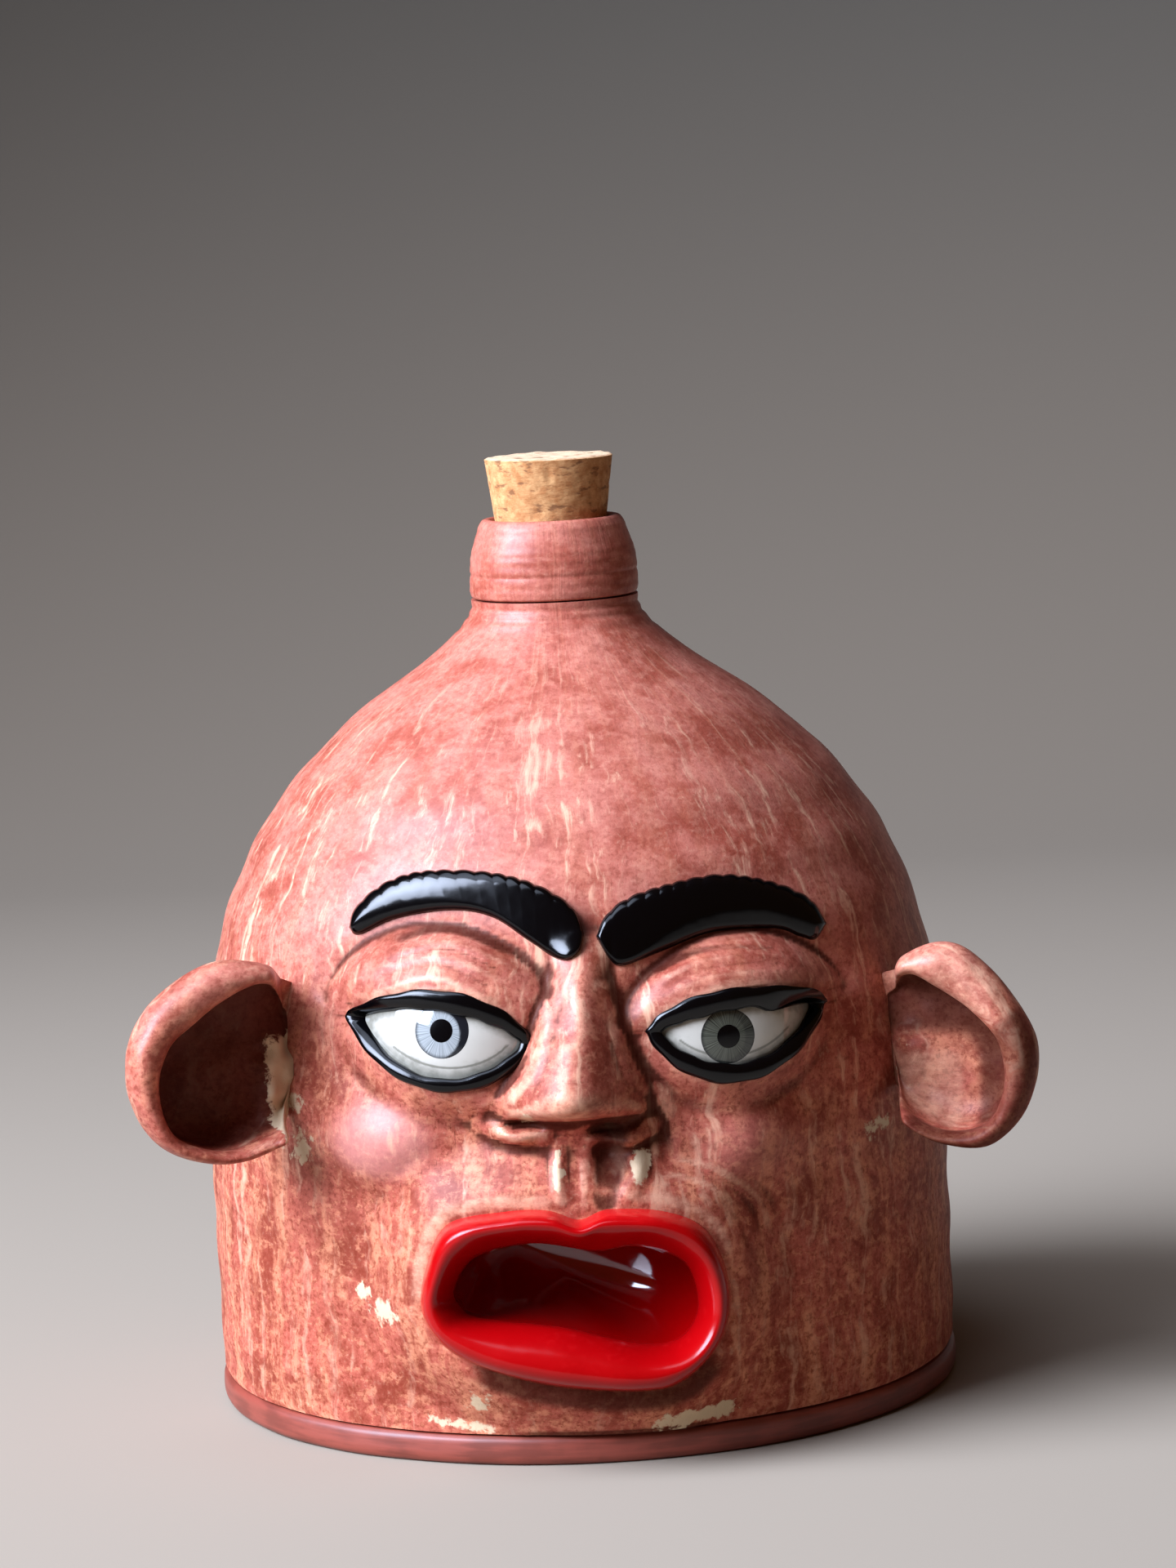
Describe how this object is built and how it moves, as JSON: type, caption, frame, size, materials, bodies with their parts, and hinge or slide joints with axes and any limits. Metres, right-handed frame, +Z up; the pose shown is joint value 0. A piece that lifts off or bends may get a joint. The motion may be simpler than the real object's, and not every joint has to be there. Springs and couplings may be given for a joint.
{
  "type": "face jug",
  "caption": "Domed stoneware jug on a flat base with a short corked neck and a modelled folk face: cupped ears, glazed brows, inlaid eyes and an open red mouth.",
  "frame": {"origin": "centre of the flat foot, on the surface that the jug stands on", "axes": "+Z up along the jug's axis; the face looks along -Y; the jug's own left is +X"},
  "size_m": [0.1671, 0.16, 0.1824],
  "materials": {
    "body_clay": "fired red-brown stoneware with a thin buff wash, satin",
    "base_clay": "bare red clay, smoothed",
    "black_glaze": "black gloss glaze",
    "red_glaze": "red gloss glaze",
    "white_glaze": "white gloss glaze",
    "blue_iris": "blue-grey under clear glaze",
    "green_iris": "grey-green under clear glaze",
    "cork": "natural cork, cut faces"
  },
  "bodies": {
    "jug": {"base_slab": "base_clay", "jug_wall": "body_clay", "neck_collar": "body_clay", "nose": "body_clay", "muzzle": "body_clay", "upper_lip": "red_glaze", "lower_lip": "red_glaze", "mouth_cup": "red_glaze", "left_ear": "body_clay", "left_brow": "black_glaze", "left_eyeball": "white_glaze", "left_iris": "green_iris", "left_pupil": "black_glaze", "left_lid_rim": "black_glaze", "left_upper_lid": "body_clay", "left_lower_lid": "body_clay", "left_cheek": "body_clay", "right_ear": "body_clay", "right_brow": "black_glaze", "right_eyeball": "white_glaze", "right_iris": "blue_iris", "right_pupil": "black_glaze", "right_lid_rim": "black_glaze", "right_upper_lid": "body_clay", "right_lower_lid": "body_clay", "right_cheek": "body_clay"},
    "cork": {"cork_stopper": "cork"}
  },
  "joints": [
    {"name": "cork_pull", "type": "slide", "parent": "jug", "child": "cork", "axis": [0, 0, 1], "range_m": [0, 0.045]}
  ]
}
